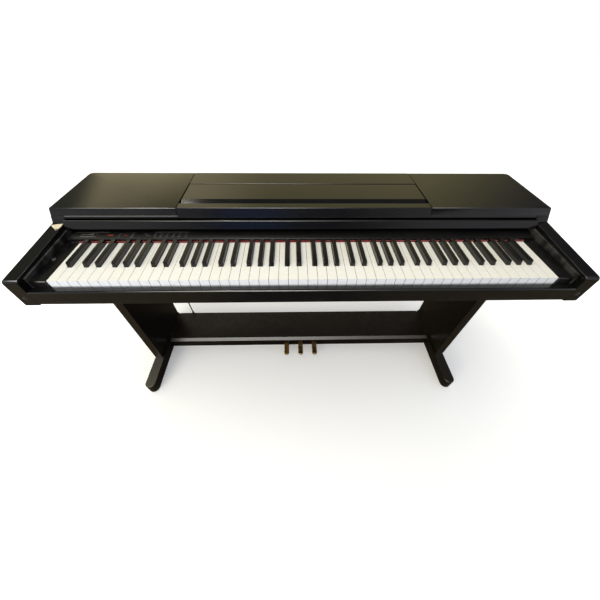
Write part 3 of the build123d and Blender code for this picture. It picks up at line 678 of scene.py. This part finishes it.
# %% Ribbed sleeve
sleeve_shape = bmesh.new()
sleeve_profile = [(0.0029, 0.0), (0.0078, 0.0), (0.0078, 0.0016), (0.0064, 0.0026)]
for rib in range(6):
    height = 0.004 + rib * 0.0036
    radius = 0.0062 - rib * 0.00042
    sleeve_profile += [(radius, height), (radius, height + 0.0021), (radius - 0.0011, height + 0.0023),
                       (radius - 0.0011, height + 0.0035)]
sleeve_profile += [(0.0034, 0.0262), (0.0029, 0.0266)]
turned(sleeve_shape, sleeve_profile, route[0], around=28)
sleeve = piece_from(sleeve_shape, "cable_sleeve", finishes["cable_black"])
print("cable rises by", round(route[-1][2] - route[0][2], 3), "m")

# %% [markdown]
# ## Marks on the control panel
# Each button has a fine printed line under it and the volume slot has a row of ticks that
# grow longer, which says "less" and "more" with no words. Print is a layer of ink, so it is
# made as very thin raised shapes. The two lamps are small domed lenses.

# %% Printed marks
panel_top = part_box("control_panel")[1].z
buttons = [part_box(f"panel_button_{n}") for n in range(1, 9)]
knob_low, knob_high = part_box("volume_knob")
button_y = (buttons[0][0].y + buttons[0][1].y) / 2
ink_low, ink_high = panel_top - 0.00002, panel_top + 0.00006
marks = bmesh.new()
for low, high in buttons:
    middle = (low.x + high.x) / 2
    raised(marks, rounded_bar(middle, button_y - 0.0082, 0.0074, 0.0007), ink_low, ink_high)
    raised(marks, rounded_bar(middle, button_y + 0.0090, 0.0044, 0.0006), ink_low, ink_high)
slot_left, slot_right, last_tick = -0.611, -0.573, 8
for tick in range(last_tick + 1):
    along = slot_left + (slot_right - slot_left) * tick / last_tick
    tall = 0.0016 + 0.0004 * tick
    outline = [(x + along, y + button_y - 0.0092 + tall / 2) for y, x in rounded_bar(0, 0, tall, 0.0006)]
    raised(marks, outline[::-1], ink_low, ink_high)
for start, end, away in ((-0.4190, -0.3220, 0.0142), (-0.6320, -0.5420, 0.0142),
                         (-0.6140, -0.5700, 0.0046), (-0.6140, -0.5700, -0.0046),
                         (-0.4440, -0.4360, 0.0060), (-0.4365, -0.4285, -0.0020)):
    raised(marks, rounded_bar((start + end) / 2, button_y + away, end - start, 0.0008), ink_low, ink_high)
print("printed marks:", len(marks.faces), "faces")
piece_from(marks, "panel_print", ink, smooth=False)

# %% Lamp lenses
lamps = bmesh.new()
for x, long, wide in ((-0.534, 0.0170, 0.0034), (-0.4930, 0.0100, 0.0024)):
    for inset, height in ((0.0, 0.0003), (0.0004, 0.0006)):
        raised(lamps, rounded_bar(x, button_y, long - 2 * inset, wide - 2 * inset, 8), panel_top - 0.0002,
               panel_top + height)
piece_from(lamps, "lamp_lenses", lens)

# %% Ridges on the volume cap
ridges = bmesh.new()
for side in (-1, 1):
    for step in (0.0014, 0.0024):
        x = (knob_low.x + knob_high.x) / 2 + side * step
        outline = [(x + b, button_y + a) for a, b in rounded_bar(0, 0, 0.0062, 0.0005)]
        raised(ridges, outline[::-1], knob_high.z - 0.0004, knob_high.z + 0.00025)
piece_from(ridges, "volume_ridges", finishes["button_black"], body="volume_knob")

# %% [markdown]
# ## Screws
# Screw heads hold the rear panel and the shelf. A head is a low dome
# with a cross pressed into it. It is turned in fine rings, and the points that fall inside
# the cross are pushed down, which is cheaper than a Boolean and leaves a clean mesh.

# %% Cross head screws
def screw_head(mesh, centre, direction, radius=0.0036):
    """One pan head with a cross recess, standing on centre."""
    tall = radius * 0.55
    profile = [(radius, 0.0), (radius, tall * 0.35)]
    for part in (0.94, 0.8, 0.64, 0.5, 0.38, 0.26, 0.14):
        profile.append((radius * part, tall * (0.42 + 0.58 * math.sqrt(1 - part * part))))
    profile.append((0, tall))
    turn = Matrix.Translation(centre) @ facing(direction)
    back = turn.inverted()
    spin = Matrix.Rotation(chance.uniform(0, math.pi / 2), 4, "Z")
    made = turned(mesh, profile, centre, direction, around=40)
    for vertex in made:
        place_in = spin @ (back @ vertex.co)
        reach_out = math.hypot(place_in.x, place_in.y)
        if min(abs(place_in.x), abs(place_in.y)) < radius * 0.13 and reach_out < radius * 0.6:
            own = back @ vertex.co
            own.z -= tall * 0.6
            vertex.co = turn @ own


rear_low, rear_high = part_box("rear_panel")
from_edge = 0.011
screws = bmesh.new()
for x in (-0.63, -0.32, -0.105, 0.105, 0.32, 0.63):
    for z in (rear_low.z + from_edge, rear_high.z - from_edge):
        screw_head(screws, (x, rear_high.y, z), (0, 1, 0))
piece_from(screws, "rear_screws", finishes["steel"])

bed_low, bed_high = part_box("keybed")
under = bmesh.new()
for x in (-0.58, -0.35, -0.12, 0.12, 0.35, 0.58):
    for y in (bed_low.y + 0.03, (bed_low.y + bed_high.y) / 2, bed_high.y - 0.03):
        screw_head(under, (x, y, bed_low.z), (0, 0, -1), 0.0044)
piece_from(under, "shelf_screws", finishes["steel"])
print("screws: 12 behind and 18 below")

# %% [markdown]
# ## Speaker mesh
# The loudspeakers face down through round mesh covers. Each cover is a sheet with a pattern
# of holes in a honeycomb layout. A ring of six corners joined to a smaller ring inside it
# makes one cell, and cells share their outer corners, so the sheet is one connected mesh.

# %% Perforated covers
def honeycomb_disc(mesh, centre, radius, pitch, hole, z_low, z_high):
    """A round sheet of six-sided cells with a hole in each, added to mesh."""
    spots = {}

    def corner(x, y, z):
        key = (round(x * 1e6), round(y * 1e6), round(z * 1e7))
        if key not in spots:
            spots[key] = mesh.verts.new((x, y, z))
        return spots[key]

    across = pitch / math.sqrt(3)
    count = int(radius / pitch) + 2
    for row in range(-count, count + 1):
        for column in range(-count, count + 1):
            x = centre[0] + pitch * (column + 0.5 * (row % 2))
            y = centre[1] + pitch * row * math.sqrt(3) / 2
            if math.hypot(x - centre[0], y - centre[1]) > radius - pitch * 0.6:
                continue
            turns = [math.radians(60 * k + 30) for k in range(6)]
            outer = [(x + across * math.cos(a), y + across * math.sin(a)) for a in turns]
            inner_ring = [(x + hole * math.cos(a), y + hole * math.sin(a)) for a in turns]
            for k in range(6):
                j = (k + 1) % 6
                for z, flip in ((z_low, True), (z_high, False)):
                    quad = [corner(*outer[k], z), corner(*outer[j], z), corner(*inner_ring[j], z),
                            corner(*inner_ring[k], z)]
                    mesh.faces.new(quad[::-1] if flip else quad)
                mesh.faces.new((corner(*inner_ring[k], z_low), corner(*inner_ring[j], z_low),
                                corner(*inner_ring[j], z_high), corner(*inner_ring[k], z_high)))


grille_low, grille_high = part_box("speaker_grilles")
grille_radius = (grille_high.y - grille_low.y) / 2
grille_y = (grille_high.y + grille_low.y) / 2
covers = bmesh.new()
for side in (grille_low.x + grille_radius, grille_high.x - grille_radius):
    honeycomb_disc(covers, (side, grille_y), grille_radius - 0.003, 0.0052, 0.0021, grille_low.z + 0.0004,
                   grille_low.z + 0.0012)
    rim = [(grille_radius - 0.0048, 0.0002), (grille_radius - 0.0030, 0.0), (grille_radius - 0.0006, 0.0),
           (grille_radius, 0.0006), (grille_radius, 0.0019), (grille_radius - 0.0048, 0.0019),
           (grille_radius - 0.0048, 0.0002)]
    turned(covers, rim, (side, grille_y, grille_low.z), around=72)
mesh_covers = piece_from(covers, "speaker_mesh", finishes["grille_black"])
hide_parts("speaker_grilles")
print("mesh cover radius", round(grille_radius, 4))

# %% [markdown]
# ## Sockets, collars and pads
# The headphone sockets have knurled ring nuts, the pedals come out through moulded collars,
# and rubber pads under the case keep it from sliding on the stand.

# %% Ring nuts
socket_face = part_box("headphone_box")[0].y
socket_height, ridges_round, ridge_depth = 0.648, 48, 0.0005
outer_rings = (4, 5)
nut_profile = [(0.0034, -0.0005), (0.0034, 0.0014), (0.0040, 0.0019), (0.0054, 0.0019),
               (0.0060, 0.0013), (0.0060, 0.0)]
nuts = bmesh.new()
for x in (-0.574, -0.546):
    made = turned(nuts, nut_profile, (x, socket_face, socket_height), (0, -1, 0), around=ridges_round)
    for index, vertex in enumerate(made):
        if index // ridges_round in outer_rings and index % 2:
            outward = vertex.co - Vector((x, vertex.co.y, socket_height))
            vertex.co -= outward.normalized() * ridge_depth
piece_from(nuts, "socket_nuts", finishes["steel"])

# %% Pedal collars
pedal_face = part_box("pedal_box")[0].y
collars = bmesh.new()
slot_half, slot_low, slot_high = 0.013, 0.010, 0.034
rim_steps = ((0.0, -0.003), (0.0, 0.0012), (0.0008, 0.0018), (0.0030, 0.0018), (0.0042, 0.0008),
             (0.0042, 0.0))
for x in (-0.068, 0.0, 0.068):
    loops = []
    for grow, out in rim_steps:
        corner_radius = 0.001 + grow
        loop = []
        for sx, sz, start in ((1, 1, 0), (-1, 1, 90), (-1, -1, 180), (1, -1, 270)):
            for step in range(5):
                angle = math.radians(start + 22.5 * step)
                cx = x + sx * (slot_half + grow - corner_radius)
                cz = (slot_low + slot_high) / 2 + sz * ((slot_high - slot_low) / 2 + grow - corner_radius)
                loop.append(collars.verts.new((cx + corner_radius * math.cos(angle), pedal_face - out,
                                               cz + corner_radius * math.sin(angle))))
        loops.append(loop)
    for inside, outside in zip(loops, loops[1:]):
        for k in range(len(inside)):
            j = (k + 1) % len(inside)
            collars.faces.new((inside[k], inside[j], outside[j], outside[k]))
piece_from(collars, "pedal_collars", finishes["panel_black"])

# %% Rubber pads under the case
pads = bmesh.new()
pad_height = 0.0065
dish = [(0.0, 0.0012), (0.0042, 0.0012), (0.0052, 0.0), (0.0078, 0.0), (0.0088, 0.0010),
        (0.0094, pad_height)]
for x in (-0.622, 0.622):
    for y in (bed_low.y + 0.010, bed_high.y - 0.030):
        turned(pads, dish, (x, y, bed_low.z - pad_height), around=32)
piece_from(pads, "case_pads", finishes["cable_black"])

# %% [markdown]
# ## Wear and plugs on the arms
# The lacquer has chipped off the left arm where it meets the case, and pale wood shows. The
# chip is a thin ragged patch that lies on the sloping arm, with its height taken from the
# slope. A round plug fills the fixing hole in the front of each arm.

# %% Chipped corner
def arm_height(y):
    """Height of the sloping arm top, between its tip and the case."""
    tip_y, tip_z, rear_y, rear_z = -0.2335, 0.736, -0.019, 0.753
    return tip_z + (y - tip_y) * (rear_z - tip_z) / (rear_y - tip_y)


chip = bmesh.new()
ragged = [(-0.6872, -0.0300), (-0.6700, -0.0262), (-0.6586, -0.0250), (-0.6584, -0.0390),
          (-0.6610, -0.0492), (-0.6655, -0.0525), (-0.6712, -0.0450), (-0.6785, -0.0400),
          (-0.6835, -0.0352)]
middle_x, middle_y, shrink = -0.6680, -0.0350, 0.8
rim = [chip.verts.new((x, y, arm_height(y) + 0.00008)) for x, y in ragged]
inner = [chip.verts.new((middle_x + (x - middle_x) * shrink, middle_y + (y - middle_y) * shrink,
                         arm_height(y) + 0.00018 + chance.uniform(0, 0.0001))) for x, y in ragged]
for k in range(len(rim)):
    j = (k + 1) % len(rim)
    chip.faces.new((rim[k], rim[j], inner[j], inner[k]))
chip.faces.new(inner)
piece_from(chip, "arm_chip", bare, smooth=False)

# %% Plugs in the arms
plugs = bmesh.new()
arm_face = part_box("side_left")[0].y
plug_profile = [(0.0056, -0.0006), (0.0056, 0.0004), (0.0050, 0.0010), (0.0030, 0.0013), (0, 0.0014)]
plug_depth, plug_height = 0.0014, 0.683
for x in (-0.673, 0.673):
    turned(plugs, plug_profile, (x, arm_face + plug_depth, plug_height), (0, -1, 0.05), around=32)
piece_from(plugs, "arm_plugs", finishes["button_black"])
